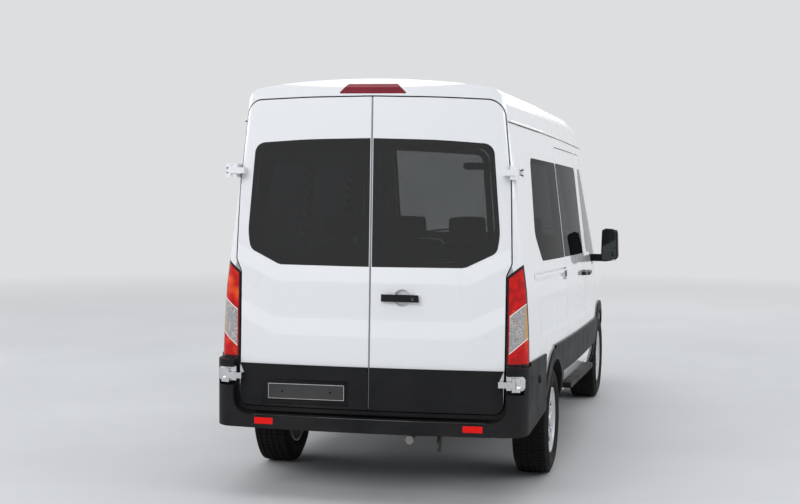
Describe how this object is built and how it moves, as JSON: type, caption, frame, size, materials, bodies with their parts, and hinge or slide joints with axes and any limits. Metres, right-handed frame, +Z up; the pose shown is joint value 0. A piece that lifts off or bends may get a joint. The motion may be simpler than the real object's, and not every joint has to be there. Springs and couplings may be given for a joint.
{
  "type": "minibus",
  "caption": "High-roof panel-van minibus with double rear doors, a side sliding door, glazed sides and rows of seats.",
  "frame": {"origin": "middle of the ground plane under the vehicle, half way between nose and tail", "axes": "+X forwards, +Y to the left side, +Z up"},
  "size_m": [5.531, 2.3774, 2.5591],
  "materials": {
    "paint_white": "smooth gloss white",
    "cladding_grey": "fine grain",
    "window_glass": "tinted",
    "lamp_clear": "clear",
    "lamp_red": "smooth",
    "trim_black": "smooth",
    "trim_dark": "fine grain",
    "seat_fabric": "woven",
    "steel_black": "satin black",
    "steel_raw": "raw",
    "engine_metal": "cast",
    "wheel_silver": "silver paint",
    "tyre_rubber": "matt"
  },
  "bodies": {
    "body": {"body_side_right": "paint_white", "body_side_left": "paint_white", "roof": "paint_white", "fixed_glass": "window_glass", "sliding_door": "paint_white", "rear_bumper": "cladding_grey", "side_cladding": "cladding_grey", "wing_right": "paint_white", "wing_left": "paint_white", "front_bumper": "cladding_grey", "grille": "trim_black", "headlamps": "lamp_clear", "rear_lamps": "lamp_red", "front_panel": "steel_black", "bulkhead": "trim_dark", "floor": "steel_black", "chassis": "steel_black", "side_step": "cladding_grey", "dashboard": "trim_dark", "steering_wheel": "trim_black", "driver_seat": "seat_fabric", "passenger_seat": "seat_fabric", "bench_middle": "seat_fabric", "bench_rear": "seat_fabric", "engine": "engine_metal", "front_subframe": "steel_black", "rear_axle": "steel_black", "underbody": "steel_raw"},
    "door_front_right": {"door_front_right": "paint_white", "glass_front_right": "window_glass", "mirror_right": "trim_black"},
    "door_front_left": {"door_front_left": "paint_white", "glass_front_left": "window_glass", "mirror_left": "trim_black"},
    "door_rear_right": {"door_rear_right": "paint_white", "glass_rear_right": "window_glass"},
    "door_rear_left": {"door_rear_left": "paint_white", "glass_rear_left": "window_glass"},
    "bonnet": {"bonnet": "paint_white"},
    "knuckle_right": {"knuckle_right": "engine_metal"},
    "knuckle_left": {"knuckle_left": "engine_metal"},
    "wheel_front_left": {"rim_front_left": "wheel_silver", "tyre_front_left": "tyre_rubber"},
    "wheel_front_right": {"rim_front_right": "wheel_silver", "tyre_front_right": "tyre_rubber"},
    "wheel_rear_left": {"rim_rear_left": "wheel_silver", "tyre_rear_left": "tyre_rubber"},
    "wheel_rear_right": {"rim_rear_right": "wheel_silver", "tyre_rear_right": "tyre_rubber"}
  },
  "joints": [
    {"name": "front_door_right_hinge", "type": "hinge", "parent": "body", "child": "door_front_right", "pos_m": [1.2955, -1.025, 0.9], "axis": [0, 0, 1], "range_deg": [0, 68]},
    {"name": "front_door_left_hinge", "type": "hinge", "parent": "body", "child": "door_front_left", "pos_m": [1.2955, 1.025, 0.9], "axis": [0, 0, 1], "range_deg": [-68, 0]},
    {"name": "rear_door_right_hinge", "type": "hinge", "parent": "body", "child": "door_rear_right", "pos_m": [-2.71012, -0.885, 0.74], "axis": [0.0448, 0, 0.999], "range_deg": [0, 180]},
    {"name": "rear_door_left_hinge", "type": "hinge", "parent": "body", "child": "door_rear_left", "pos_m": [-2.71012, 0.885, 0.74], "axis": [0.0448, 0, 0.999], "range_deg": [-180, 0]},
    {"name": "bonnet_hinge", "type": "hinge", "parent": "body", "child": "bonnet", "pos_m": [1.9475, 0, 1.285], "axis": [0, -1, 0], "range_deg": [0, 50]},
    {"name": "steer_left", "type": "hinge", "parent": "body", "child": "knuckle_left", "pos_m": [1.7425, 0.843, 0.35], "axis": [0, 0, 1], "range_deg": [-35, 35]},
    {"name": "steer_right", "type": "hinge", "parent": "body", "child": "knuckle_right", "pos_m": [1.7425, -0.843, 0.35], "axis": [0, 0, 1], "range_deg": [-35, 35]},
    {"name": "wheel_front_left_spin", "type": "hinge", "parent": "knuckle_left", "child": "wheel_front_left", "pos_m": [1.7425, 0.868, 0.35], "axis": [0, 1, 0], "continuous": true},
    {"name": "wheel_front_right_spin", "type": "hinge", "parent": "knuckle_right", "child": "wheel_front_right", "pos_m": [1.7425, -0.868, 0.35], "axis": [0, 1, 0], "continuous": true},
    {"name": "wheel_rear_left_spin", "type": "hinge", "parent": "body", "child": "wheel_rear_left", "pos_m": [-1.5575, 0.871, 0.35], "axis": [0, 1, 0], "continuous": true},
    {"name": "wheel_rear_right_spin", "type": "hinge", "parent": "body", "child": "wheel_rear_right", "pos_m": [-1.5575, -0.871, 0.35], "axis": [0, 1, 0], "continuous": true}
  ],
  "couplings": [
    {"joint": "steer_right", "follows": "steer_left", "ratio": 1}
  ]
}
